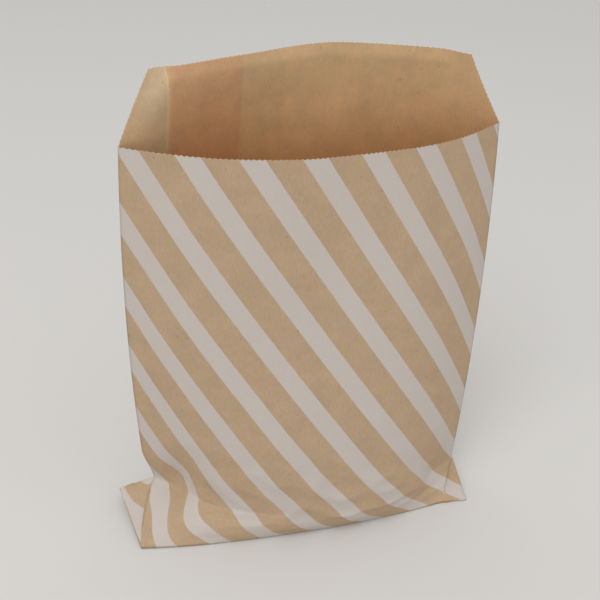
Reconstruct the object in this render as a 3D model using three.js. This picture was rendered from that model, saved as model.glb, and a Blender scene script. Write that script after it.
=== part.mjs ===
// Pinked kraft paper bag, opened and standing on its folded-out bottom.
// Units mm. +X is the bag's right as seen from the front, -Y the front, +Z up.
// The sheet is described flat: u runs across a panel from the left side fold,
// v runs up a panel from the bottom fold. Each panel point (u, v) is then placed
// in space by the folded form below, and the paper's thickness is set inwards.
import * as THREE from 'three';

// The flat sheet
const WIDTH = 130;            // between the two side folds
const POCKET = 177;           // bottom fold to the front panel's cut edge
const FLAP = 21;              // how far the back panel stands above the front
const FLAP_TAPER = 11;        // how far each flap end slopes in at its top
const PAPER = 0.35;           // one layer, as modelled
const SEAM_FROM = 16;         // long glue seam on the back panel
const SEAM_WIDTH = 26;
const HEM = 12;               // bottom strip turned up and glued on the back
const TOOTH_PITCH = 1.63;     // pinked edge
const TOOTH_DEPTH = 0.5;
const STEP_RAMP = 0.4;        // how sharply a second layer starts

// The folded form: left and right corners of each level
const FLOOR = PAPER;          // outer skin of the base; the hem hangs below it
const MOUTH_L = [-59, -2, 153], MOUTH_R = [62.5, 5.5, 150];
const PINCH_L = [-58.5, 10, 14], PINCH_R = [62, -1, 12];
const PINCH_V = 35;           // height on the sheet where the side folds split
const TIP_L = [-69, 20, FLOOR], TIP_R = [64, -15, FLOOR];
const SIDE_BOW = 2.2;         // how far the side folds bow outwards midway

// Each panel turns under at its toes: how much sheet goes under the bag, how
// much of its width the corner ears take, and its bow at the base rim, at the
// pinch and at the mouth.
const FRONT = {
  outward: -1, under: 5, ear: 4,
  toeL: [-63.5, -12, FLOOR], toeR: [54, -14, FLOOR],
  bow: [4, 25.5, 17.5],
};
const BACK = {
  outward: 1, under: 28, ear: 12,
  toeL: [-54, 24, FLOOR], toeR: [58, 7, FLOOR],
  bow: [2, 11, 23.5],
};
const LENS = 2.5;             // how flat the bowed panels are in their middle
const BELLY = 0.2;            // roundness of the panels just above the base
const FLAP_LEAN = -3;         // the flap's top comes forward by this much

// Mesh density
const COLUMNS = 30;
const ROWS_ABOVE = 15;        // pinch to mouth
const ROWS_PINCH = 3;         // back toe to pinch
const ROWS_BASE = 5;          // front toe to back toe
const ROWS_FLAP = 4;
const EAR_COLUMNS = 3;
const CUT_INSET = 1.6;        // last regular row, just inside the pinked edge

const mix = (a, b, t) => a + (b - a) * t;
const mix3 = (a, b, t) => [mix(a[0], b[0], t), mix(a[1], b[1], t), mix(a[2], b[2], t)];
const clamp01 = (t) => Math.min(1, Math.max(0, t));
const arc = (t) => 4 * t * (1 - t);
const lens = (t) => 1 - Math.abs(2 * t - 1) ** LENS;
const smooth = (t) => t * t * (3 - 2 * t);

// Width of sheet that belongs to the corner ear at height v.
function earWidth(panel, v) {
  const { under, ear } = panel;
  if (v >= PINCH_V) return 0;
  return v >= under ? ear * (PINCH_V - v) / (PINCH_V - under) : ear * v / under;
}

// Side fold: gently bowed from the mouth to the pinch, then out to the ear's tip.
function sideFold(v, mouth, pinch, tip) {
  if (v < PINCH_V) return mix3(tip, pinch, v / PINCH_V);
  const t = (v - PINCH_V) / (POCKET - PINCH_V);
  const p = mix3(pinch, mouth, t);
  p[0] += Math.sign(p[0]) * SIDE_BOW * arc(Math.min(1, t));
  return p;
}

// Edge between the ear and the panel's main field.
function earEdge(panel, v, mouth, pinch, tip, toe) {
  if (v >= PINCH_V) return sideFold(v, mouth, pinch, tip);
  return v >= panel.under
    ? mix3(toe, pinch, (v - panel.under) / (PINCH_V - panel.under))
    : mix3(tip, toe, v / panel.under);
}

// The rim where a panel meets the floor, and the bottom fold, which runs from
// ear to ear just behind the front rim.
function rimPoint(panel, t) {
  const p = mix3(panel.toeL, panel.toeR, t);
  p[1] += panel.outward * panel.bow[0] * lens(t);
  return p;
}
function bottomFold(t) {
  const behindRim = rimPoint(FRONT, t);
  behindRim[1] += FRONT.under;
  return mix3(mix3(TIP_L, TIP_R, t), behindRim, 1 - (2 * t - 1) ** 4);
}

// How far the panel's middle stands out from the line between its two edges.
function bowAt(panel, v) {
  const [rim, pinch, mouth] = panel.bow;
  if (v <= PINCH_V) {
    const t = (v - panel.under) / (PINCH_V - panel.under);
    return mix(rim, pinch, t + BELLY * t * (1 - t));
  }
  return mix(pinch, mouth, smooth(clamp01((v - PINCH_V) / (POCKET - PINCH_V))));
}

// Point of the sheet's outer face.
function sheetPoint(panel, u, v) {
  const ear = earWidth(panel, v);
  const edgeL = earEdge(panel, v, MOUTH_L, PINCH_L, TIP_L, panel.toeL);
  const edgeR = earEdge(panel, v, MOUTH_R, PINCH_R, TIP_R, panel.toeR);
  if (ear > 0 && u < ear) return mix3(sideFold(v, MOUTH_L, PINCH_L, TIP_L), edgeL, u / ear);
  if (ear > 0 && u > WIDTH - ear) {
    return mix3(sideFold(v, MOUTH_R, PINCH_R, TIP_R), edgeR, (WIDTH - u) / ear);
  }
  const t = clamp01((u - ear) / (WIDTH - 2 * ear));
  if (v <= panel.under) return mix3(bottomFold(t), rimPoint(panel, t), v / panel.under);
  const p = mix3(edgeL, edgeR, t);
  p[1] += panel.outward * bowAt(panel, v) * lens(t);
  if (v > POCKET) p[1] += FLAP_LEAN * ((v - POCKET) / FLAP) ** 2;
  return p;
}

// Layers of paper at a point: the seam doubles the back panel towards the
// inside, the hem doubles it towards the outside along the bottom.
function step(x) {
  return clamp01(x / STEP_RAMP);
}
function seamLayer(panel, u, v) {
  if (panel === FRONT || v < BACK.under) return 0;
  return Math.min(step(u - SEAM_FROM), step(SEAM_FROM + SEAM_WIDTH - u));
}
function hemLayer(panel, v) {
  return panel === FRONT ? 0 : step(HEM - v);
}

// The outer face of the sheet as triangles, with the layers of paper at each point.
class Skin {
  constructor() {
    this.points = [];
    this.layers = [];
    this.index = new Map();
    this.faces = [];
  }
  vertex(panel, u, v) {
    const p = sheetPoint(panel, u, v);
    const key = p.map((c) => Math.round(c * 500)).join(' ');
    if (!this.index.has(key)) {
      this.index.set(key, this.points.length);
      this.points.push(p);
      this.layers.push({ seam: 0, hem: 0 });
    }
    const i = this.index.get(key);
    this.layers[i].seam = Math.max(this.layers[i].seam, seamLayer(panel, u, v));
    this.layers[i].hem = Math.max(this.layers[i].hem, hemLayer(panel, v));
    return i;
  }
  face(a, b, c, flip) {
    if (a === b || b === c || c === a) return;
    this.faces.push(flip ? [a, c, b] : [a, b, c]);
  }
  // Rows run up the panel, columns across it; the front faces -Y.
  grid(rows, flip) {
    for (let j = 0; j + 1 < rows.length; j++) {
      for (let i = 0; i + 1 < rows[j].length; i++) {
        const [a, b, c, d] = [rows[j][i], rows[j][i + 1], rows[j + 1][i + 1], rows[j + 1][i]];
        this.face(a, b, c, flip);
        this.face(a, c, d, flip);
      }
    }
  }
  // Fills between an inner line of vertices and the toothed cut line.
  stitch(inner, outer, flip) {
    let i = 0, k = 0;
    while (i < inner.length - 1 || k < outer.length - 1) {
      const nextInner = i < inner.length - 1 ? inner[i + 1].s : Infinity;
      const nextOuter = k < outer.length - 1 ? outer[k + 1].s : Infinity;
      if (nextInner <= nextOuter) {
        this.face(inner[i].id, inner[i + 1].id, outer[k].id, flip);
        i++;
      } else {
        this.face(inner[i].id, outer[k + 1].id, outer[k].id, flip);
        k++;
      }
    }
  }
}

// Sheet positions across one row: ear, main field, ear. The seam's two edges
// get columns of their own, on both panels so that the bottom fold matches.
function rowStations(panel, v) {
  const ear = earWidth(panel, v);
  const seamTo = SEAM_FROM + SEAM_WIDTH;
  const seamColumns = [SEAM_FROM, SEAM_FROM + STEP_RAMP, seamTo - STEP_RAMP, seamTo];
  const fractions = seamColumns.map((u) => u / WIDTH);
  for (let i = 0; i <= COLUMNS; i++) fractions.push(i / COLUMNS);
  fractions.sort((a, b) => a - b);
  const us = [];
  for (let k = 0; k < EAR_COLUMNS; k++) us.push(ear * k / EAR_COLUMNS);
  for (const t of fractions) us.push(mix(ear, WIDTH - ear, t));
  for (let k = EAR_COLUMNS - 1; k >= 0; k--) us.push(WIDTH - ear * k / EAR_COLUMNS);
  return us;
}

function levels(from, to, count) {
  const list = [];
  for (let k = 0; k <= count; k++) list.push(mix(from, to, k / count));
  return list;
}

// Zigzag cut line through the given flat corners; the ends stay on the corners.
function pinkedLine(skin, panel, corners) {
  const line = [];
  let run = 0;
  for (let c = 0; c + 1 < corners.length; c++) {
    const [u0, v0] = corners[c], [u1, v1] = corners[c + 1];
    const length = Math.hypot(u1 - u0, v1 - v0);
    const teeth = Math.round(length / TOOTH_PITCH);
    const across = [-(v1 - v0) / length, (u1 - u0) / length];
    for (let k = c === 0 ? 0 : 1; k <= 2 * teeth; k++) {
      const t = k / (2 * teeth);
      const depth = k % 2 ? -TOOTH_DEPTH : 0;
      const u = mix(u0, u1, t) + across[0] * depth;
      const v = mix(v0, v1, t) + across[1] * depth;
      line.push({ id: skin.vertex(panel, u, v), s: run + length * t });
    }
    run += length;
  }
  for (const p of line) p.s /= run;
  return line;
}

function buildSkin() {
  const skin = new Skin();
  const cutRow = POCKET - CUT_INSET;
  for (const panel of [FRONT, BACK]) {
    const vs = [
      ...levels(0, FRONT.under, 1).slice(0, -1),
      ...levels(FRONT.under, BACK.under, ROWS_BASE).slice(0, -1),
      ...levels(BACK.under, PINCH_V, ROWS_PINCH).slice(0, -1),
      ...levels(PINCH_V, cutRow, ROWS_ABOVE),
      HEM - STEP_RAMP, HEM,
    ].sort((a, b) => a - b);
    const flip = panel === BACK;
    const grid = vs.map((v) => rowStations(panel, v).map((u) => skin.vertex(panel, u, v)));
    skin.grid(grid, flip);
    if (panel === FRONT) {
      const inner = rowStations(panel, cutRow).map((u, i) => ({ id: grid.at(-1)[i], s: u / WIDTH }));
      skin.stitch(inner, pinkedLine(skin, panel, [[0, POCKET], [WIDTH, POCKET]]), flip);
    } else {
      buildFlap(skin, grid.at(-1), cutRow);
    }
  }
  return skin;
}

// The flap goes on above the pocket as one sheet with sloping ends.
function buildFlap(skin, lastRow, cutRow) {
  const topRow = POCKET + FLAP - CUT_INSET;
  const narrowing = (v) => CUT_INSET * 0.8 + FLAP_TAPER * Math.max(0, v - POCKET) / FLAP;
  const flapRows = levels(cutRow, topRow, ROWS_FLAP).slice(1);
  const grid = [lastRow];
  const base = rowStations(BACK, cutRow);
  for (const v of flapRows) {
    const inset = narrowing(v);
    grid.push(base.map((u) => skin.vertex(BACK, Math.min(Math.max(u, inset), WIDTH - inset), v)));
  }
  skin.grid(grid, true);
  const flapTop = POCKET + FLAP;
  const outline = [[0, POCKET], [FLAP_TAPER, flapTop], [WIDTH - FLAP_TAPER, flapTop], [WIDTH, POCKET]];
  const side = Math.hypot(FLAP_TAPER, FLAP);
  const top = WIDTH - 2 * FLAP_TAPER;
  const total = 2 * side + top;
  const inner = [];
  grid.forEach((row, j) => inner.push({ id: row[0], s: side * (j / (grid.length - 1)) / total }));
  const first = narrowing(topRow);
  base.forEach((u, i) => {
    if (u > first && u < WIDTH - first) inner.push({ id: grid.at(-1)[i], s: (side + u - FLAP_TAPER) / total });
  });
  for (let j = grid.length - 1; j >= 0; j--) {
    inner.push({ id: grid[j].at(-1), s: 1 - side * (j / (grid.length - 1)) / total });
  }
  inner.sort((a, b) => a.s - b.s);
  skin.stitch(inner, pinkedLine(skin, BACK, outline), true);
}

// Moves every vertex along the line that keeps the wanted distance from all
// the faces around it, so that folds keep their full thickness.
function offsetSkin(skin, distance) {
  const sums = skin.points.map(() => ({ m: [0, 0, 0, 0, 0, 0], r: [0, 0, 0] }));
  const at = (i) => new THREE.Vector3(...skin.points[i]);
  for (const [a, b, c] of skin.faces) {
    const pa = at(a);
    const n = at(b).sub(pa).cross(at(c).sub(pa));
    const area = n.length();
    if (area < 1e-9) continue;
    n.divideScalar(area);
    const corners = [[a, b, c], [b, c, a], [c, a, b]];
    for (const [i, j, k] of corners) {
      const w = at(j).sub(at(i)).angleTo(at(k).sub(at(i)));
      const s = sums[i];
      s.m[0] += w * n.x * n.x; s.m[1] += w * n.x * n.y; s.m[2] += w * n.x * n.z;
      s.m[3] += w * n.y * n.y; s.m[4] += w * n.y * n.z; s.m[5] += w * n.z * n.z;
      s.r[0] += w * n.x; s.r[1] += w * n.y; s.r[2] += w * n.z;
    }
  }
  return skin.points.map((p, i) => {
    const { m, r } = sums[i];
    const loose = 0.02 * (m[0] + m[3] + m[5]);
    const matrix = new THREE.Matrix3();
    matrix.set(m[0] + loose, m[1], m[2], m[1], m[3] + loose, m[4], m[2], m[4], m[5] + loose);
    const dir = new THREE.Vector3(...r).applyMatrix3(matrix.invert()).multiplyScalar(1.02);
    const long = dir.length();
    if (long > 2.2) dir.multiplyScalar(2.2 / long);
    const d = distance(skin.layers[i]);
    return [p[0] + dir.x * d, p[1] + dir.y * d, Math.max(0, p[2] + dir.z * d)];
  });
}

// Outer face, inner face and the cut edge between them as one closed solid.
function closeSheet(skin) {
  const outer = offsetSkin(skin, (layer) => PAPER * layer.hem);
  const inner = offsetSkin(skin, (layer) => -PAPER * (1 + layer.seam));
  const count = skin.points.length;
  const positions = [...outer, ...inner].flat();
  const index = [];
  const open = new Map();
  for (const [a, b, c] of skin.faces) {
    index.push(a, b, c, a + count, c + count, b + count);
    for (const [i, j] of [[a, b], [b, c], [c, a]]) {
      if (open.has(j + ' ' + i)) open.delete(j + ' ' + i);
      else open.set(i + ' ' + j, [i, j]);
    }
  }
  for (const [i, j] of open.values()) index.push(j, i, i + count, j, i + count, j + count);
  const geometry = new THREE.BufferGeometry();
  geometry.setAttribute('position', new THREE.Float32BufferAttribute(positions, 3));
  geometry.setIndex(index);
  geometry.computeVertexNormals();
  return geometry;
}

const kraftPaper = new THREE.MeshStandardMaterial({ color: 0xab9274, roughness: 0.85 });
const bag = new THREE.Mesh(closeSheet(buildSkin()), kraftPaper);
bag.name = 'paper_bag';

// Origin on the floor, in the middle of the bag's outline from above.
bag.geometry.computeBoundingBox();
const middle = bag.geometry.boundingBox.getCenter(new THREE.Vector3());
bag.geometry.translate(-middle.x, -middle.y, 0);

const part = new THREE.Group();
part.name = 'pinked_paper_bag';
part.add(bag);
export default part;
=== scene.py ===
"""Pinked kraft paper bag: the folded sheet, its print and its studio."""
import math

import bmesh
import bpy
from bpy.props import FloatProperty, FloatVectorProperty, PointerProperty
from mathutils import Matrix, Vector, noise


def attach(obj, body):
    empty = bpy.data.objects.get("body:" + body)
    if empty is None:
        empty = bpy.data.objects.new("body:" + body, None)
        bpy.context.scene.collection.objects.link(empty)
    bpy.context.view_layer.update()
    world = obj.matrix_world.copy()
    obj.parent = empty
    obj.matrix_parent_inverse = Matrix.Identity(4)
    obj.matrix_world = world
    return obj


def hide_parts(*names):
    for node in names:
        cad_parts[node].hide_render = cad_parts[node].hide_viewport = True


bl_info = {
    "name": "Pinked Paper Bag",
    "version": (1, 0, 0),
    "blender": (4, 5, 0),
    "location": "View3D > Sidebar > Paper Bag",
    "description": "Builds a standing kraft paper bag with a slanted stripe print",
    "category": "Object",
}

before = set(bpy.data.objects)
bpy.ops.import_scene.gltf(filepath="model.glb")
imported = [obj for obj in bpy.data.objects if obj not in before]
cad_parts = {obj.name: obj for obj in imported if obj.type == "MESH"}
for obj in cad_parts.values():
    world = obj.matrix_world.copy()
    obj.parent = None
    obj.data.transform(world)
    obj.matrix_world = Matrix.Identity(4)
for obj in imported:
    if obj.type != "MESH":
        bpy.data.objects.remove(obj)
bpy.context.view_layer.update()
MM = 0.001
TINY = 1e-9

# The folded sheet, in millimetres: u runs across the flat bag, v up from its bottom fold
LAYER = 0.35                    # one layer in the solids, and the height of corners on the ground
TAPER = 11.0                    # the flap's ends slope in by this much
SEAM_FROM, SEAM_TO = 16.0, 42.0
SEAM_STEP, SEAM_FADE = 0.4, 3.0     # over which the doubled paper begins and ends
HEM, HEM_STEP = 12.0, 0.4
TOOTH_PITCH = 1.63
FRONT_TEETH, FLAP_TEETH = 0.42, 0.22    # depth of the cut, worn smoother on the flap
TOOTH_LEAST, TOOTH_VARIES = 0.85, 0.3   # wear of single teeth, as shares of that depth
PINCH_V = 35.0                  # where the side folds are pinched and the ears begin
NIP_REACH = 16.0                # how far above the pinch the side fold is drawn in
TUCK_AT = 1 / 6                 # where the tuck is deepest, from the ridge to the side fold
TUCK_FROM, TUCK_FADE = 3.0, 6.0     # sheet above the rim where the tuck starts, and its growth
TUCK_GROWTH = 1.8               # how fast the tuck deepens down from the pinch
SIDE_BOW = 2.2                  # side folds swell outwards by this much halfway up
LENS = 2.5                      # roundness of the lens that front and back make
BELLY = 0.2                     # swelling of the panels between rim and pinch
BOTTOM_POWER = 4                # how square the bottom fold's ends are
FLAP_LEAN = -3.0
ORIGIN = Vector((2.5537, -1.983, 0))

# Relief of the paper: width and length of each kind of wave, its cut through the noise, its height
WAVES, WAVE_HEIGHT = (38, 60, 3.1), 0.9
RIPPLES, RIPPLE_HEIGHT = (15, 26, 7.7), 0.28
CRUMPLE, CRUMPLE_HEIGHT = (13, 11, 1.3), 0.7
CRUMPLE_LEVEL = 0.6             # crumple that neither stands out nor sinks in
CRUMPLE_REACH = 26.0            # from the pinch, up and down
EDGE_FADE, FOOT_FADE = 9.0, 10.0
LIP_CREASE, LIP_TILT = 3.6, 0.26    # crease below the flap's top, and the backward tilt above it

# The print, in millimetres round the bag from the front's middle
PRINT_FAN = 0.042               # how much wider it runs at the mouth than halfway down
PRINT_SAMPLES = 64
BACK_FOOT = 1.9                 # true height of the back's foot against the sheet that makes it
CREASE_U, CREASE_V = -52.0, 27.0    # middle of the crease by the left pinch
CREASE_WIDE, CREASE_TALL, CREASE_PULL = 10.0, 16.0, 9.0
EAR_PRINT, EAR_PRINT_RUN = -71.9, 9.7   # at the left ear's ridge, and how far it runs from there
EAR_LEAST = 0.01                # keeps the share in an ear from being divided by nothing

# Density of the mesh and thickness of the paper
MERGE_DIGITS = 3                # places that agree to a thousandth of a millimetre are one
QUICK_GRID, FULL_GRID = (64, 70), (112, 128)    # columns and rows of a panel
EAR_COLUMNS = 6
BASE_ROWS, EAR_ROWS, FOOT_ROWS, FLAP_ROWS = 3, 14, 6, 18
CUT_STRIP, CUT_SIDE = 1.6, 0.8  # strip inside a pinked edge, and its share at the sloping ends
LOOSEN = 0.02                   # steadies the corner directions where faces are nearly in line
LONGEST_WAY = 2.2               # longest corner direction, in layers
SEAM_SWELL, HEM_SWELL = 1.2, 0.5    # extra thickness on the inside, in layers
SHARP_FOLD = math.radians(24)
FRONT_INSIDE = 1000             # moves the front's inside away from the back's seam in the UVs
OUTSIDE, INSIDE, CUT_EDGE = range(3)


class Side:
    """One side fold: its corners, and how its ear is nipped, tucked and bulged."""

    def __init__(self, mouth, pinch, tip, nip, tuck, bulge):
        self.mouth, self.pinch, self.tip = Vector(mouth), Vector(pinch), Vector(tip)
        self.nip, self.tuck, self.bulge = Vector(nip), Vector(tuck), Vector(bulge)


class Dent:
    """A soft hollow pressed into a panel, or a swelling where the depth is negative."""

    def __init__(self, u, v, wide, tall, depth, lean=0.0):
        self.u, self.v, self.wide, self.tall = u, v, wide, tall
        self.depth, self.lean = depth, lean

    def at(self, u, v):
        across = (u - self.u) / self.wide
        up = (v - self.v - self.lean * (u - self.u)) / self.tall
        return -self.depth * math.exp(-across * across - up * up)


class Panel:
    """One side of the flat bag and how it is folded; the bow is at rim, pinch and mouth."""

    def __init__(self, outward, under, ear, toes, bow, wave_shift, dents):
        self.outward, self.under, self.ear = outward, under, ear
        self.left_toe, self.right_toe = (Vector(toe) for toe in toes)
        self.bow, self.wave_shift, self.dents = bow, wave_shift, dents


LEFT = Side(mouth=(-59, -2, 153), pinch=(-58.5, 10, 14), tip=(-69, 15.6, 5),
            nip=(2.7, 0, 0), tuck=(3.2, 1.0, 0), bulge=(-1.6, -0.5, 0))
RIGHT = Side(mouth=(62.5, 5.5, 150), pinch=(62, -1, 12), tip=(64, -15, LAYER),
             nip=(0, 0, 0), tuck=(0, 3.8, 0), bulge=(0, 0, 0))
FRONT = Panel(outward=-1, under=5.0, ear=4.0, toes=((-63.5, -12, LAYER), (54, -14, LAYER)),
              bow=(4, 25.5, 17.5), wave_shift=0.0,
              dents=(Dent(11, 43.5, 7.5, 11, 3.0, lean=0.5),
                     Dent(120, 36, 7, 9, 1.6),
                     Dent(26, 30, 9, 13, -1.0)))
BACK = Panel(outward=1, under=28.0, ear=12.0, toes=((-54, 24, LAYER), (58, 7, LAYER)),
             bow=(2, 11, 23.5), wave_shift=300.0,
             dents=(Dent(33, 200, 28, 30, 3.2),
                    Dent(72, 202, 17, 24, -1.8)))


def clamp01(x):
    return min(1.0, max(0.0, x))


def lens(t):
    return 1 - abs(2 * t - 1) ** LENS


def smooth(t):
    t = clamp01(t)
    return t * t * (3 - 2 * t)


def wave(kind, u, v, shift):
    wide, tall, cut = kind
    return noise.noise(Vector((u / wide + shift, v / tall, cut)))


class Sheet:
    """The whole sheet: flat position in, folded position out."""

    def __init__(self, settings):
        self.width = settings.width / MM
        self.pocket = settings.pocket / MM
        self.flap = settings.flap / MM
        self.wrinkle = settings.wrinkle
        self.rows = {}

    def ear(self, panel, v):
        """Width of the sheet that goes into each ear at this height."""
        if v >= PINCH_V:
            return 0.0
        if v >= panel.under:
            return panel.ear * (PINCH_V - v) / (PINCH_V - panel.under)
        return panel.ear * v / panel.under

    def taper(self, v):
        """How far the flap's sloping ends stand in at this height."""
        return TAPER * max(0.0, v - self.pocket) / self.flap

    def side_fold(self, v, side):
        pinch = side.pinch + side.nip
        if v < PINCH_V:
            return side.tip.lerp(pinch, v / PINCH_V)
        t = (v - PINCH_V) / (self.pocket - PINCH_V)
        p = side.pinch + (side.mouth - side.pinch) * t
        s = min(1.0, t)
        p.x += math.copysign(SIDE_BOW * 4 * s * (1 - s), p.x)
        return p + side.nip * (1 - smooth((v - PINCH_V) / NIP_REACH))

    def ridge(self, panel, v, side, toe):
        """Edge between the ear and the panel's main field."""
        if v >= PINCH_V:
            return self.side_fold(v, side)
        if v < panel.under:
            return side.tip.lerp(toe, v / panel.under)
        t = (v - panel.under) / (PINCH_V - panel.under)
        p = toe.lerp(side.pinch + side.nip, t)
        return p + side.bulge * (4 * t * (1 - t)) if panel is FRONT else p

    def in_ear(self, panel, v, side, ridge, share):
        """Place in the ear; the share runs from the side fold to the ridge."""
        p = self.side_fold(v, side).lerp(ridge, share)
        if panel is FRONT and v > panel.under:
            down = (PINCH_V - v) / (PINCH_V - panel.under)
            start = smooth((v - panel.under - TUCK_FROM) / TUCK_FADE)
            depth = min(1.0, TUCK_GROWTH * down) * start
            p += side.tuck * (depth * min(1.0, (1 - share) / TUCK_AT) * share)
        return p

    def rim(self, panel, t):
        """Fold between the base and the panel, on the ground."""
        p = panel.left_toe.lerp(panel.right_toe, t)
        p.y += panel.outward * panel.bow[0] * lens(t)
        return p

    def bottom_fold(self, t):
        behind = self.rim(FRONT, t)
        behind.y += FRONT.under
        return LEFT.tip.lerp(RIGHT.tip, t).lerp(behind, 1 - (2 * t - 1) ** BOTTOM_POWER)

    def bow(self, panel, v):
        """How far the panel's middle stands out at this height."""
        rim, pinch, mouth = panel.bow
        if v <= PINCH_V:
            t = (v - panel.under) / (PINCH_V - panel.under)
            return rim + (pinch - rim) * (t + BELLY * t * (1 - t))
        return pinch + (mouth - pinch) * smooth((v - PINCH_V) / (self.pocket - PINCH_V))

    def place(self, panel, u, v):
        """Folded place of a flat point, before relief."""
        ear = self.ear(panel, v)
        left = self.ridge(panel, v, LEFT, panel.left_toe)
        right = self.ridge(panel, v, RIGHT, panel.right_toe)
        if ear > 0 and u < ear:
            return self.in_ear(panel, v, LEFT, left, u / ear)
        if ear > 0 and u > self.width - ear:
            return self.in_ear(panel, v, RIGHT, right, (self.width - u) / ear)
        t = clamp01((u - ear) / (self.width - 2 * ear))
        if v <= panel.under:
            return self.bottom_fold(t).lerp(self.rim(panel, t), v / panel.under)
        p = left.lerp(right, t)
        p.y += panel.outward * self.bow(panel, v) * lens(t)
        if v > self.pocket:
            p.y += FLAP_LEAN * ((v - self.pocket) / self.flap) ** 2
        return p

    def relief(self, panel, u, v):
        """How far the paper stands out from its plain form, in millimetres."""
        if v <= panel.under:
            return 0.0
        edge = smooth((min(u, self.width - u) - self.taper(v)) / EDGE_FADE)
        foot = smooth((v - panel.under) / FOOT_FADE)
        shift = panel.wave_shift
        crumple = 1 - 2 * abs(wave(CRUMPLE, u, v, shift)) - CRUMPLE_LEVEL
        low = math.exp(-((v - PINCH_V) / CRUMPLE_REACH) ** 2)
        h = WAVE_HEIGHT * wave(WAVES, u, v, shift) + RIPPLE_HEIGHT * wave(RIPPLES, u, v, shift)
        h += low * CRUMPLE_HEIGHT * crumple + sum(dent.at(u, v) for dent in panel.dents)
        lip = LIP_TILT * max(0.0, v - (self.pocket + self.flap - LIP_CREASE))
        return (h * foot + lip) * edge * self.wrinkle

    def row(self, panel, v):
        """Paper distance from the panel's middle at even steps across it."""
        key = (panel.outward, round(v, MERGE_DIGITS))
        if key not in self.rows:
            steps = [self.width * k / PRINT_SAMPLES for k in range(PRINT_SAMPLES + 1)]
            places = [self.place(panel, u, v) for u in steps]
            run = [0.0]
            for a, b in zip(places, places[1:]):
                run.append(run[-1] + (b - a).length)
            middle = run[PRINT_SAMPLES // 2]
            self.rows[key] = [d - middle for d in run]
        return self.rows[key]

    def distance(self, panel, u, v):
        """Paper distance of one place from the panel's middle."""
        row = self.row(panel, v)
        x = clamp01(u / self.width) * PRINT_SAMPLES
        k = min(int(x), PRINT_SAMPLES - 1)
        return row[k] + (row[k + 1] - row[k]) * (x - k)

    def print_u(self, panel, u, v, past_seam, in_ear):
        """Distance round the bag from the front's middle, which the print follows."""
        if in_ear:
            share = clamp01(u / max(self.ear(panel, v), EAR_LEAST))
            return EAR_PRINT + EAR_PRINT_RUN * (1 - share)
        level = v if panel is FRONT else max(v, PINCH_V)
        here = self.distance(panel, u, level)
        if panel is FRONT:
            x = (here - CREASE_U) / CREASE_WIDE
            y = (v - CREASE_V) / CREASE_TALL
            here += CREASE_PULL * x * math.exp(-x * x - y * y)
        else:
            fold = self.width if past_seam else 0
            here = self.distance(FRONT, fold, level) + self.distance(BACK, fold, level) - here
        return here * (1 + PRINT_FAN * (2 * v / self.pocket - 1))

    def print_v(self, panel, v):
        """Height of the print; the back's foot is folded taller than its share of the sheet."""
        return v if panel is FRONT or v > PINCH_V else PINCH_V - BACK_FOOT * (PINCH_V - v)


# The mesh of the sheet
class Skin:
    """Outer face of the sheet; a corner is its vertex with its flat u and v."""

    def __init__(self, sheet):
        self.sheet = sheet
        self.points, self.layers = [], []
        self.index, self.faces = {}, []

    def vertex(self, panel, u, v):
        """Number of the vertex here, made on first use; it keeps its seam, hem and relief."""
        p = self.sheet.place(panel, u, v)
        key = tuple(round(x, MERGE_DIGITS) for x in p)
        i = self.index.get(key)
        if i is None:
            i = self.index[key] = len(self.points)
            self.points.append(p)
            self.layers.append([0.0, 0.0, 0.0])
        seam = hem = 0.0
        if panel is BACK and v >= BACK.under:
            seam = min(clamp01((u - SEAM_FROM) / SEAM_STEP), clamp01((SEAM_TO - u) / SEAM_FADE))
        if panel is BACK and 0 < u < self.sheet.width:
            hem = clamp01((HEM - v) / HEM_STEP)
        mine = self.layers[i]
        mine[0] = max(mine[0], seam)
        mine[1] = max(mine[1], hem)
        mine[2] = max(mine[2], self.sheet.relief(panel, u, v), key=abs)
        return i

    def row(self, panel, v, us):
        return [(self.vertex(panel, u, v), u, v) for u in us]

    def face(self, corners, panel):
        if len({corner[0] for corner in corners}) < 3:
            return
        kept = [corner for k, corner in enumerate(corners) if corner[0] != corners[k - 1][0]]
        if panel is BACK:
            kept.reverse()
        self.faces.append((kept, panel))

    def grid(self, rows, panel):
        for low, high in zip(rows, rows[1:]):
            for i in range(len(low) - 1):
                self.face([low[i], low[i + 1], high[i + 1], high[i]], panel)

    def stitch(self, inner, outer, panel):
        """Triangles between two lines, whose entries are (corner, share of the line)."""
        i = k = 0
        while i < len(inner) - 1 or k < len(outer) - 1:
            near = inner[i + 1][1] if i < len(inner) - 1 else math.inf
            far = outer[k + 1][1] if k < len(outer) - 1 else math.inf
            if near <= far:
                self.face([inner[i][0], inner[i + 1][0], outer[k][0]], panel)
                i += 1
            else:
                self.face([inner[i][0], outer[k + 1][0], outer[k][0]], panel)
                k += 1

    def pinked(self, panel, outline, depth):
        """Zigzag cut line along a flat outline, as entries of (corner, share of the line)."""
        line, run = [], 0.0
        for c, ((u0, v0), (u1, v1)) in enumerate(zip(outline, outline[1:])):
            length = math.hypot(u1 - u0, v1 - v0)
            teeth = round(length / TOOTH_PITCH)
            across = (-(v1 - v0) / length, (u1 - u0) / length)
            for k in range(0 if c == 0 else 1, 2 * teeth + 1):
                t = k / (2 * teeth)
                wear = TOOTH_LEAST + TOOTH_VARIES * noise.noise(Vector((run + length * t, 5.0, 2.0)))
                d = -depth * wear if k % 2 else 0.0
                u = u0 + (u1 - u0) * t + across[0] * d
                v = v0 + (v1 - v0) * t + across[1] * d
                line.append(((self.vertex(panel, u, v), u, v), run + length * t))
            run += length
        return [(corner, s / run) for corner, s in line]


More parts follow.
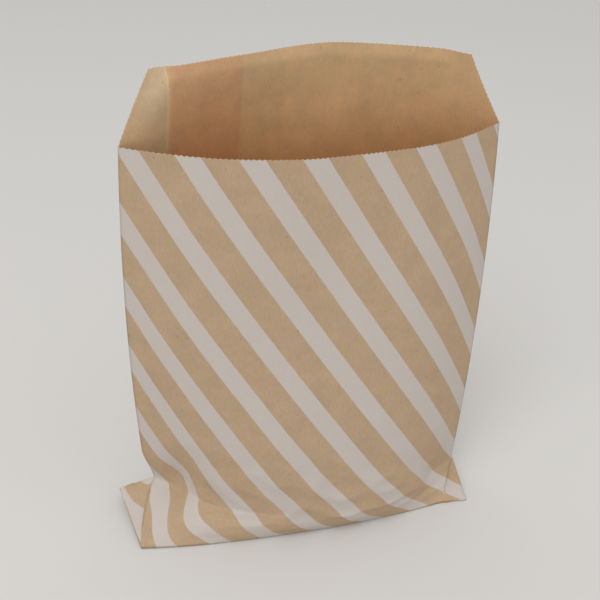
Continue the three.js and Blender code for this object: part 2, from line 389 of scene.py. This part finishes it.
def stations(sheet, panel, v, columns):
    """Places across a row: the left ear, the main field with the seam's edges, the right ear."""
    ear = sheet.ear(panel, v)
    seam = [SEAM_FROM, SEAM_FROM + SEAM_STEP, SEAM_TO - SEAM_FADE, SEAM_TO]
    shares = sorted([i / columns for i in range(columns + 1)] + [u / sheet.width for u in seam])
    us = [ear * k / EAR_COLUMNS for k in range(EAR_COLUMNS)]
    us += [ear + (sheet.width - 2 * ear) * t for t in shares]
    us += [sheet.width - ear * k / EAR_COLUMNS for k in range(EAR_COLUMNS - 1, -1, -1)]
    return us


def levels(low, high, count):
    return [low + (high - low) * k / count for k in range(count)]


def front_edge(skin, row):
    """Pinked edge across the front, above the grid's last row."""
    width, pocket = skin.sheet.width, skin.sheet.pocket
    inner = [(corner, corner[1] / width) for corner in row]
    skin.stitch(inner, skin.pinked(FRONT, [(0, pocket), (width, pocket)], FRONT_TEETH), FRONT)


def flap(skin, row, us):
    """Back above the front's edge, with its pinked top and sloping ends."""
    sheet = skin.sheet
    width, pocket, top = sheet.width, sheet.pocket, sheet.pocket + sheet.flap
    low, high = pocket - CUT_STRIP, top - CUT_STRIP
    rows = [row]
    for v in levels(low, high, FLAP_ROWS)[1:] + [high]:
        narrow = CUT_STRIP * CUT_SIDE + sheet.taper(v)
        rows.append(skin.row(BACK, v, [min(max(u, narrow), width - narrow) for u in us]))
    skin.grid(rows, BACK)
    side, span = math.hypot(TAPER, sheet.flap), width - 2 * TAPER
    total = 2 * side + span
    climb = [side * (j / (len(rows) - 1)) / total for j in range(len(rows))]
    inner = [(row[0], share) for row, share in zip(rows, climb)]
    inner += [(corner, (side + corner[1] - TAPER) / total)
              for corner in rows[-1] if narrow < corner[1] < width - narrow]
    inner += [(row[-1], 1 - share) for row, share in zip(rows[::-1], climb[::-1])]
    inner.sort(key=lambda entry: entry[1])
    outline = [(0, pocket), (TAPER, top), (width - TAPER, top), (width, pocket)]
    skin.stitch(inner, skin.pinked(BACK, outline, FLAP_TEETH), BACK)


def lay_out(sheet, columns, rows):
    """Outer face of the whole sheet, front and back, with its pinked edges."""
    skin = Skin(sheet)
    cut = sheet.pocket - CUT_STRIP
    vs = levels(0, FRONT.under, BASE_ROWS) + levels(FRONT.under, BACK.under, EAR_ROWS)
    vs += levels(BACK.under, PINCH_V, FOOT_ROWS) + levels(PINCH_V, cut, rows)
    vs += [cut, HEM - HEM_STEP, HEM]
    vs.sort()
    for panel in (FRONT, BACK):
        grid = [skin.row(panel, v, stations(sheet, panel, v, columns)) for v in vs]
        skin.grid(grid, panel)
        if panel is FRONT:
            front_edge(skin, grid[-1])
        else:
            flap(skin, grid[-1], stations(sheet, panel, cut, columns))
    return skin


def fold_directions(skin):
    """For every vertex, the way that keeps unit distance from all its faces."""
    sums = [(Matrix.Diagonal((0.0, 0.0, 0.0)), Vector()) for _ in skin.points]
    for corners, _ in skin.faces:
        places = [skin.points[corner[0]] for corner in corners]
        normal = (places[1] - places[0]).cross(places[2] - places[0])
        if normal.length < TINY:
            continue
        normal.normalize()
        outer = Matrix([[a * b for b in normal] for a in normal])
        for k, corner in enumerate(corners):
            before = places[k - 1] - places[k]
            after = places[(k + 1) % len(places)] - places[k]
            if before.length < TINY or after.length < TINY:
                continue
            weight = before.angle(after)
            matrix, pull = sums[corner[0]]
            sums[corner[0]] = (matrix + outer * weight, pull + normal * weight)
    ways = []
    for matrix, pull in sums:
        loose = LOOSEN * (matrix[0][0] + matrix[1][1] + matrix[2][2]) + TINY
        way = ((matrix + Matrix.Identity(3) * loose).inverted() @ pull) * (1 + LOOSEN)
        ways.append(way * min(1.0, LONGEST_WAY / max(way.length, TINY)))
    return ways


def both_faces(skin, paper):
    """Places of the outer and the inner vertices, in millimetres."""
    outer, inner = [], []
    for p, way, (seam, hem, relief) in zip(skin.points, fold_directions(skin), skin.layers):
        q = p + way.normalized() * relief + way * (LAYER * hem)
        q.z = max(q.z, 0.0)
        outer.append(q)
        inner.append(q - way * paper * (1 + SEAM_SWELL * seam) - way * (LAYER * hem * HEM_SWELL))
    return outer, inner


def bag_mesh(settings):
    """Outer and inner faces and the cut edge, with flat coordinates as UVs."""
    sheet = Sheet(settings)
    skin = lay_out(sheet, *FULL_GRID)
    bm = bmesh.new()
    flat = bm.loops.layers.uv.new("flat")
    out, into = ([bm.verts.new((p + ORIGIN) * MM) for p in points]
                 for points in both_faces(skin, settings.paper / MM))
    open_edges = {}
    for corners, panel in skin.faces:
        ids = [corner[0] for corner in corners]
        middle_u, middle_v = (sum(corner[k] for corner in corners) / len(corners) for k in (1, 2))
        past_seam = middle_u > SEAM_TO
        in_ear = panel is FRONT and middle_u < sheet.ear(panel, middle_v)
        face = bm.faces.new([out[i] for i in ids])
        face.material_index = OUTSIDE
        for loop, (_, u, v) in zip(face.loops, corners):
            across = sheet.print_u(panel, u, v, past_seam, in_ear)
            loop[flat].uv = (across * MM, sheet.print_v(panel, v) * MM)
        face = bm.faces.new([into[i] for i in reversed(ids)])
        face.material_index = INSIDE
        shift = 0 if panel is BACK else FRONT_INSIDE
        for loop, (_, u, v) in zip(face.loops, reversed(corners)):
            loop[flat].uv = ((u + shift) * MM, v * MM)
        for i, j in zip(ids, ids[1:] + ids[:1]):
            if (j, i) in open_edges:
                del open_edges[(j, i)]
            else:
                open_edges[(i, j)] = True
    for i, j in open_edges:
        bm.faces.new((out[j], out[i], into[i], into[j])).material_index = CUT_EDGE
    for face in bm.faces:
        face.smooth = True
    for edge in bm.edges:
        if len(edge.link_faces) == 2:
            one, other = edge.link_faces
            folded = edge.calc_face_angle(0) > SHARP_FOLD
            edge.smooth = not folded and one.material_index == other.material_index
    mesh = bpy.data.meshes.new("paper_sheet")
    bm.to_mesh(mesh)
    bm.free()
    return mesh


# Shader expressions
class Term:
    """A socket that can be used in plain arithmetic."""

    def __init__(self, tree, socket):
        self.tree, self.socket = tree, socket

    def _math(self, operation, *values):
        return self.tree.node("ShaderNodeMath", {"operation": operation}, dict(enumerate(values)))

    def __add__(self, other):
        return self._math("ADD", self, other)

    __radd__ = __add__

    def __sub__(self, other):
        return self._math("SUBTRACT", self, other)

    def __rsub__(self, other):
        return self._math("SUBTRACT", other, self)

    def __mul__(self, other):
        return self._math("MULTIPLY", self, other)

    __rmul__ = __mul__

    def __truediv__(self, other):
        return self._math("DIVIDE", self, other)

    def __rtruediv__(self, other):
        return self._math("DIVIDE", other, self)

    def __abs__(self):
        return self._math("ABSOLUTE", self)

    def fraction(self):
        return self._math("FRACT", self)

    def clamped(self):
        return self.tree.node("ShaderNodeClamp", {}, {0: self})

    def rising(self, start, slope):
        """0 up to the start, then up to 1 at this slope."""
        return ((self - start) * slope).clamped()


class Tree:
    """Node tree of one material."""

    def __init__(self, name):
        self.material = bpy.data.materials.new(name)
        self.material.use_nodes = True
        self.nodes = self.material.node_tree.nodes
        self.links = self.material.node_tree.links
        self.shader = self.nodes["Principled BSDF"]

    def node(self, kind, settings, inputs, output=0):
        made = self.nodes.new(kind)
        for name, value in settings.items():
            setattr(made, name, value)
        for name, value in inputs.items():
            self.feed(made.inputs[name], value)
        return Term(self, made.outputs[output])

    def feed(self, socket, value):
        if isinstance(value, Term):
            self.links.new(value.socket, socket)
        else:
            socket.default_value = value

    def mix(self, share, a, b, blend="MIX"):
        settings = {"data_type": "RGBA", "blend_type": blend}
        return self.node("ShaderNodeMix", settings, {0: share, 6: a, 7: b}, output=2)

    def tinted(self, colour, tint):
        return self.mix(1.0, colour, rgba(tint), "MULTIPLY")

    def tone(self, share, colour, tint):
        """The colour, multiplied by the tint where the share is 1."""
        return self.mix(share, colour, self.tinted(colour, tint))

    def grain(self, place, scale, detail, roughness=0.55):
        inputs = {"Vector": place, "Scale": scale, "Detail": detail, "Roughness": roughness}
        return self.node("ShaderNodeTexNoise", {"noise_dimensions": "3D"}, inputs)

    def stretched(self, place, squash, shift):
        """Place squashed upwards, so that grain on it runs up the sheet."""
        return self.node("ShaderNodeVectorMath", {"operation": "MULTIPLY_ADD"},
                         {0: place, 1: (1.0, squash, 1.0), 2: (shift, shift, shift)})

    def wear(self, colour, roughness, gloss):
        """Feeds the shader with a finish."""
        self.feed(self.shader.inputs["Base Color"], colour)
        self.feed(self.shader.inputs["Roughness"], roughness)
        self.shader.inputs["Specular IOR Level"].default_value = gloss


def rgba(colour, share=1.0):
    return (*[c * share for c in colour], 1.0)


# Paper finishes, with painted light and shade on the inside; scales are per metre of sheet, lengths in
# metres
MIDDLE = 0.5                    # middle value of a noise texture
SPECK_DARKNESS = 0.4
WARM_TINT, WARM_SHARE = (1.05, 0.97, 0.88), 0.25
FIBRE_HEIGHT, GRIT_HEIGHT = 0.6, 0.5
BUMP_STRENGTH, BUMP_DISTANCE = 0.35, 0.00012
INK_COVER, INK_FIBRE_LOSS, INK_CLOUD_LOSS = 0.93, 0.35, 0.2
INK_EDGE_SLOPE, INK_EDGE_WOBBLE = 85, 0.018
KRAFT_ROUGHNESS, INK_SMOOTHER = 0.86, 0.16
BLOTCH_TINT, BLOTCH_SHARE = (1.12, 1.04, 0.93), 0.8
DEEP_FROM, DEEP_OVER, DEEP_SHADE_TINT = 0.006, 0.042, (0.72, 0.48, 0.27)  # painted shade: the inside darker and oranger down from the flap's top
SIDE_FROM, SIDE_OVER = 0.03, 0.08   # the inside goes from painted light on its seam side to painted shade on its far side
SEAM_SIDE_LIGHT_TINT, FAR_SIDE_SHADE_TINT = (1.12, 1.15, 1.15), (0.93, 0.93, 0.90)
BESIDE_LIGHT_TINT = (1.04, 1.16, 1.31)    # painted light on the strip between the side fold and the seam
# painted shade: the glue seam darker, where the doubled paper lets less light through
BAND_SHADE_TINT, BAND_START_SLOPE, BAND_END_SLOPE = (1.0, 0.89, 0.87), 4000, 3000
LINE_TINT, LINE_SHARE = (1.16, 1.16, 1.15), 0.6     # pale line along the seam's edge
LINE_OUT, LINE_SLOPE = 0.0006, 2200
CUT_DARK, CUT_PALE = 0.68, 0.92


def flat_place(tree):
    """Flat coordinates of the sheet, and their parts across and up."""
    place = tree.node("ShaderNodeUVMap", {"uv_map": "flat"}, {})
    across = tree.node("ShaderNodeSeparateXYZ", {}, {0: place})
    up = Term(tree, across.socket.node.outputs[1])
    return place, across, up


def kraft(tree, place, colour, cloud, fibre):
    """Paper colour with its cloudy formation, fibres and specks."""
    clouds = tree.grain(place, scale=95, detail=4.0, roughness=0.6)
    along = tree.stretched(place, squash=0.22, shift=4.0)
    fibres = tree.grain(along, scale=1900, detail=3.0, roughness=0.6)
    spotted = tree.stretched(place, squash=0.55, shift=9.0)
    specks = tree.grain(spotted, scale=1300, detail=1.0, roughness=0.4)
    tone = 1 + (clouds - MIDDLE) * cloud + (fibres - MIDDLE) * fibre
    tone = tone - specks.rising(start=0.71, slope=9) * SPECK_DARKNESS
    grey = tree.node("ShaderNodeCombineColor", {}, {0: tone, 1: tone, 2: tone})
    base = tree.mix(1.0, rgba(colour), grey, "MULTIPLY")
    warm = clouds.rising(start=0.42, slope=2.4) * WARM_SHARE
    return tree.tone(warm, base, WARM_TINT), fibres, clouds


def fibre_bump(tree, place, fibres):
    height = fibres * FIBRE_HEIGHT + tree.grain(place, scale=5200, detail=2.0) * GRIT_HEIGHT
    inputs = {"Strength": BUMP_STRENGTH, "Distance": BUMP_DISTANCE, "Height": height}
    tree.feed(tree.shader.inputs["Normal"], tree.node("ShaderNodeBump", {}, inputs))


def printed_paper(settings):
    """Outside of the sheet: kraft with the slanted off-white stripes."""
    tree = Tree("printed_kraft_outside")
    place, across, up = flat_place(tree)
    base, fibres, clouds = kraft(tree, place, settings.kraft, cloud=0.30, fibre=0.30)
    down = settings.pocket - up
    phase = (across - down / settings.slant + settings.print_shift) / settings.period
    # a stripe is centred halfway through its period
    offset = abs(phase.fraction() - 0.5)
    wobble = (tree.grain(place, scale=420, detail=2.0, roughness=0.5) - MIDDLE) * INK_EDGE_WOBBLE
    ink = ((settings.stripe_share / 2 - offset + wobble) * INK_EDGE_SLOPE + 0.5).clamped()
    cover = INK_COVER - (fibres - MIDDLE) * INK_FIBRE_LOSS - (clouds - MIDDLE) * INK_CLOUD_LOSS
    colour = tree.mix((ink * cover).clamped(), base, rgba(settings.ink))
    tree.wear(colour, KRAFT_ROUGHNESS - ink * INK_SMOOTHER, gloss=0.28)
    fibre_bump(tree, place, fibres)
    return tree.material


def bare_paper(settings):
    """Inside of the sheet: warmer, cloudier kraft, with painted shade deeper down, on its far side and
    on the glue seam, and painted light on its seam side.
    """
    tree = Tree("bare_kraft_inside")
    place, across, up = flat_place(tree)
    base, fibres, _ = kraft(tree, place, settings.lining, cloud=0.42, fibre=0.26)
    spread = tree.stretched(place, squash=0.7, shift=2.0)
    blotch = tree.grain(spread, scale=210, detail=3.0, roughness=0.65)
    base = tree.tone(blotch.rising(start=0.42, slope=3.0) * BLOTCH_SHARE, base, BLOTCH_TINT)
    # painted shade: the inside darker and oranger deeper in the bag
    deep_shade = ((settings.pocket + settings.flap - DEEP_FROM - up) / DEEP_OVER).clamped()
    base = tree.tone(deep_shade, base, DEEP_SHADE_TINT)
    # painted light on the seam side of the inside, painted shade on its far side
    far = ((across - SIDE_FROM) / SIDE_OVER).clamped()
    base = tree.mix(far, tree.tinted(base, SEAM_SIDE_LIGHT_TINT), tree.tinted(base, FAR_SIDE_SHADE_TINT))
    seam_from, seam_to = SEAM_FROM * MM, SEAM_TO * MM
    # painted light on the strip between the side fold and the seam
    beside_light = ((seam_from - across) * BAND_START_SLOPE).clamped()
    base = tree.tone(beside_light, base, BESIDE_LIGHT_TINT)
    # painted shade on the glue seam, where the doubled paper lets less light through
    end = ((seam_to - across) * BAND_END_SLOPE).clamped()
    base = tree.tone(across.rising(seam_from, BAND_START_SLOPE) * end, base, BAND_SHADE_TINT)
    line = (1 - abs(across - seam_from + LINE_OUT) * LINE_SLOPE).clamped()
    base = tree.tone(line * LINE_SHARE, base, LINE_TINT)
    tree.wear(base, roughness=0.88, gloss=0.25)
    fibre_bump(tree, place, fibres)
    return tree.material


def cut_edge(settings):
    """The thin fibrous cut edge."""
    tree = Tree("cut_kraft_edge")
    place = tree.node("ShaderNodeTexCoord", {}, {}, output=3)
    fuzz = tree.grain(place, scale=2600, detail=3.0)
    dark, pale = (rgba(settings.lining, share) for share in (CUT_DARK, CUT_PALE))
    tree.wear(tree.mix(fuzz, dark, pale), roughness=0.9, gloss=0.5)
    return tree.material


# Settings
class BagSettings(bpy.types.PropertyGroup):
    """Sizes and colours of the bag."""

    width: FloatProperty(
        name="Width", description="Flat width between the side folds", default=0.130, unit="LENGTH")
    pocket: FloatProperty(
        name="Pocket", description="Bottom fold to the front's cut edge", default=0.177, unit="LENGTH")
    flap: FloatProperty(
        name="Flap", description="How far the back stands above the front", default=0.021, unit="LENGTH")
    paper: FloatProperty(
        name="Paper", description="Shown thickness of one layer", default=0.00018, unit="LENGTH")
    wrinkle: FloatProperty(
        name="Wrinkle", description="Strength of dents and waves in the paper", default=1.0, min=0.0)
    period: FloatProperty(
        name="Stripe period", description="Across the bag, from stripe to stripe",
        default=0.01888, unit="LENGTH")
    stripe_share: FloatProperty(
        name="Stripe share", description="Part of each period that is white",
        default=0.419, subtype="FACTOR")
    slant: FloatProperty(
        name="Slant", description="Fall of a stripe for each unit to the right", default=1.552)
    print_shift: FloatProperty(
        name="Print shift", description="Moves the stripes across the bag",
        default=0.01655, unit="LENGTH")
    kraft: FloatVectorProperty(
        name="Kraft", description="Outside paper colour", subtype="COLOR",
        default=(0.443, 0.319, 0.207))
    lining: FloatVectorProperty(
        name="Inside", description="Inside paper colour", subtype="COLOR",
        default=(0.600, 0.408, 0.235))
    ink: FloatVectorProperty(
        name="Ink", description="Stripe colour", subtype="COLOR", default=(0.528, 0.482, 0.452))


class StageSettings(bpy.types.PropertyGroup):
    """Floor and light."""

    floor: FloatVectorProperty(
        name="Floor", description="Floor colour", subtype="COLOR", default=(0.62, 0.612, 0.60))
    key_power: FloatProperty(
        name="Key", description="Power of the large soft lamp", default=6.5, unit="POWER")
    sky: FloatProperty(
        name="Sky", description="Strength of the even light", default=0.78, min=0.0)


# Stage, in metres
FLOOR_HALF, FLOOR_DROP = 4.0, 0.00005
FLOOR_CORNERS = ((-1, -1), (1, -1), (1, 1), (-1, 1))
SKY_COLOUR = (1.0, 0.985, 0.96)
LAMP_SIZE = 0.9
LAMP_TARGET = Vector((0, 0, 0.08))
KEY_PLACE, FILL_PLACE = (-0.45, -0.60, 1.10), (0.9, -0.5, 0.6)
FILL_SHARE = 0.10

# Camera of the photograph: focal length in pixels of its 600, angles in degrees, place in millimetres
CAMERA_FOCAL, PHOTO_PIXELS, SENSOR = 858.98, 600.0, 36.0
CAMERA_PITCH, CAMERA_TURN, CAMERA_ROLL = 32.4614, 7.3321, -2.1904
CAMERA_PLACE = Vector((-34.469, -241.751, 248.248))
CAMERA_NEAR = 0.01
BAG_TURN = -8.0                 # turn of the bag between the camera's fit and the solids


def camera_matrix():
    pitch, turn, roll = (math.radians(a) for a in (CAMERA_PITCH, CAMERA_TURN, CAMERA_ROLL))
    level = Vector((math.sin(turn), math.cos(turn), 0)) * math.cos(pitch)
    ahead = level - Vector((0, 0, math.sin(pitch)))
    right = Vector((math.cos(turn), -math.sin(turn), 0))
    down = ahead.cross(right)
    side = right * math.cos(roll) + down * math.sin(roll)
    drop = down * math.cos(roll) - right * math.sin(roll)
    spin = Matrix.Rotation(math.radians(BAG_TURN), 3, "Z")
    matrix = Matrix((spin @ side, spin @ -drop, spin @ -ahead)).transposed().to_4x4()
    matrix.translation = (spin @ CAMERA_PLACE + ORIGIN) * MM
    return matrix


# Operators
class BAG_OT_sheet(bpy.types.Operator):
    """Folds the sheet into the standing bag and gives it its paper finishes, with painted light and
    shade on the inside
    """

    bl_idname = "bag.sheet"
    bl_label = "Paper sheet"

    def execute(self, context):
        settings = context.scene.bag_settings
        bag = bpy.data.objects.new("kraft_bag", bag_mesh(settings))
        context.scene.collection.objects.link(bag)
        for material in (printed_paper(settings), bare_paper(settings), cut_edge(settings)):
            bag.data.materials.append(material)
        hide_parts("paper_bag")
        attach(bag, "root")
        return {"FINISHED"}


class BAG_OT_stage(bpy.types.Operator):
    """Adds the pale floor, the soft lamps and the camera"""

    bl_idname = "bag.stage"
    bl_label = "Stage"

    def execute(self, context):
        settings = context.scene.bag_stage
        scene = context.scene
        self.floor(scene, settings.floor)

        world = bpy.data.worlds.new("studio")
        scene.world = world
        world.use_nodes = True
        sky = world.node_tree.nodes["Background"]
        sky.inputs["Color"].default_value = rgba(SKY_COLOUR)
        sky.inputs["Strength"].default_value = settings.sky
        self.lamp(scene, "key", KEY_PLACE, settings.key_power)
        self.lamp(scene, "fill", FILL_PLACE, settings.key_power * FILL_SHARE)

        camera = bpy.data.cameras.new("camera")
        camera.lens = SENSOR * CAMERA_FOCAL / PHOTO_PIXELS
        camera.sensor_width = SENSOR
        camera.clip_start = CAMERA_NEAR
        seat = bpy.data.objects.new("camera", camera)
        seat.matrix_world = camera_matrix()
        scene.collection.objects.link(seat)
        scene.camera = seat
        scene.view_settings.view_transform = "Standard"
        return {"FINISHED"}

    def floor(self, scene, colour):
        mesh = bpy.data.meshes.new("floor")
        corners = [(x * FLOOR_HALF, y * FLOOR_HALF, 0) for x, y in FLOOR_CORNERS]
        mesh.from_pydata(corners, [], [(0, 1, 2, 3)])
        floor = bpy.data.objects.new("floor", mesh)
        floor.location.z = -FLOOR_DROP
        scene.collection.objects.link(floor)
        tree = Tree("pale_floor")
        tree.wear(rgba(colour), roughness=0.9, gloss=0.5)
        mesh.materials.append(tree.material)

    def lamp(self, scene, name, place, power):
        data = bpy.data.lights.new(name, "AREA")
        data.shape = "DISK"
        data.size = LAMP_SIZE
        data.energy = power
        lamp = bpy.data.objects.new(name, data)
        lamp.location = place
        lamp.rotation_euler = (LAMP_TARGET - Vector(place)).to_track_quat("-Z", "Y").to_euler()
        scene.collection.objects.link(lamp)


class BAG_PT_panel(bpy.types.Panel):
    """Lists the steps and the settings of the bag"""

    bl_label = "Paper Bag"
    bl_idname = "BAG_PT_panel"
    bl_space_type = "VIEW_3D"
    bl_region_type = "UI"
    bl_category = "Paper Bag"

    def draw(self, context):
        for step in (BAG_OT_sheet, BAG_OT_stage):
            self.layout.operator(step.bl_idname)
        for group in (context.scene.bag_settings, context.scene.bag_stage):
            for name in group.__annotations__:
                self.layout.prop(group, name)


CLASSES = (BagSettings, StageSettings, BAG_OT_sheet, BAG_OT_stage, BAG_PT_panel)


def register():
    for cls in CLASSES:
        bpy.utils.register_class(cls)
    bpy.types.Scene.bag_settings = PointerProperty(type=BagSettings)
    bpy.types.Scene.bag_stage = PointerProperty(type=StageSettings)


def unregister():
    del bpy.types.Scene.bag_stage
    del bpy.types.Scene.bag_settings
    for cls in reversed(CLASSES):
        bpy.utils.unregister_class(cls)


def main():
    register()
    bpy.ops.bag.sheet()
    bpy.ops.bag.stage()


if __name__ == "__main__":
    main()
